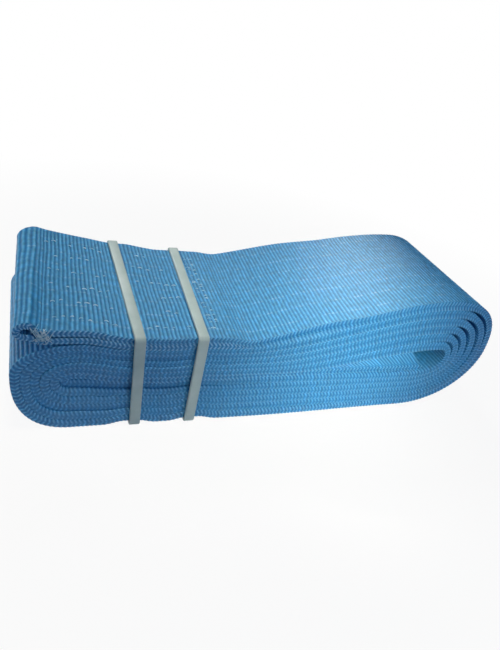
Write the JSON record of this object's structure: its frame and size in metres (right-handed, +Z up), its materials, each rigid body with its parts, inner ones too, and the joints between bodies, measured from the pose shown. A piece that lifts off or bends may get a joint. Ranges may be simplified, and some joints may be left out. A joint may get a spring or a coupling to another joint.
{
  "type": "rolled gait belt",
  "caption": "Woven blue gait belt wound into a flat roll, with a sewn end loop on top and plastic cable ties holding the roll closed.",
  "frame": {"origin": "on the resting face, at the middle of the roll's length and of the webbing's width", "axes": "+X along the roll towards its open, round end; +Y across the webbing towards the ties' heads; +Z up, away from the resting face"},
  "size_m": [0.1646, 0.0591, 0.0452],
  "materials": {
    "webbing": "woven polyester with cross ribs and a soft sheen",
    "thread": "pale sewing thread",
    "tie": "natural white nylon, slightly translucent"
  },
  "bodies": {
    "roll": {"belt_roll": "webbing", "loop_tail": "webbing", "tail_seam": "thread", "end_tack": "thread", "tie_left": "tie", "tie_right": "tie"},
    "loop": {"end_loop": "webbing", "loop_seam": "thread", "throat_stitch": "thread"},
    "left_pawl": {"pawl_left": "tie"},
    "right_pawl": {"pawl_right": "tie"}
  },
  "joints": [
    {"name": "loop_lift", "type": "hinge", "parent": "roll", "child": "loop", "pos_m": [-0.04972, 0, 0.03605], "axis": [0, 1, 0], "range_deg": [0, 45], "stiffness_Nm_per_rad": 0.03},
    {"name": "left_pawl_flex", "type": "hinge", "parent": "roll", "child": "left_pawl", "pos_m": [-0.04733, 0.02755, 0.01655], "axis": [1, 0, 0], "range_deg": [0, 8], "stiffness_Nm_per_rad": 0.002},
    {"name": "right_pawl_flex", "type": "hinge", "parent": "roll", "child": "right_pawl", "pos_m": [-0.02733, 0.02755, 0.01655], "axis": [1, 0, 0], "range_deg": [0, 8], "stiffness_Nm_per_rad": 0.002}
  ]
}
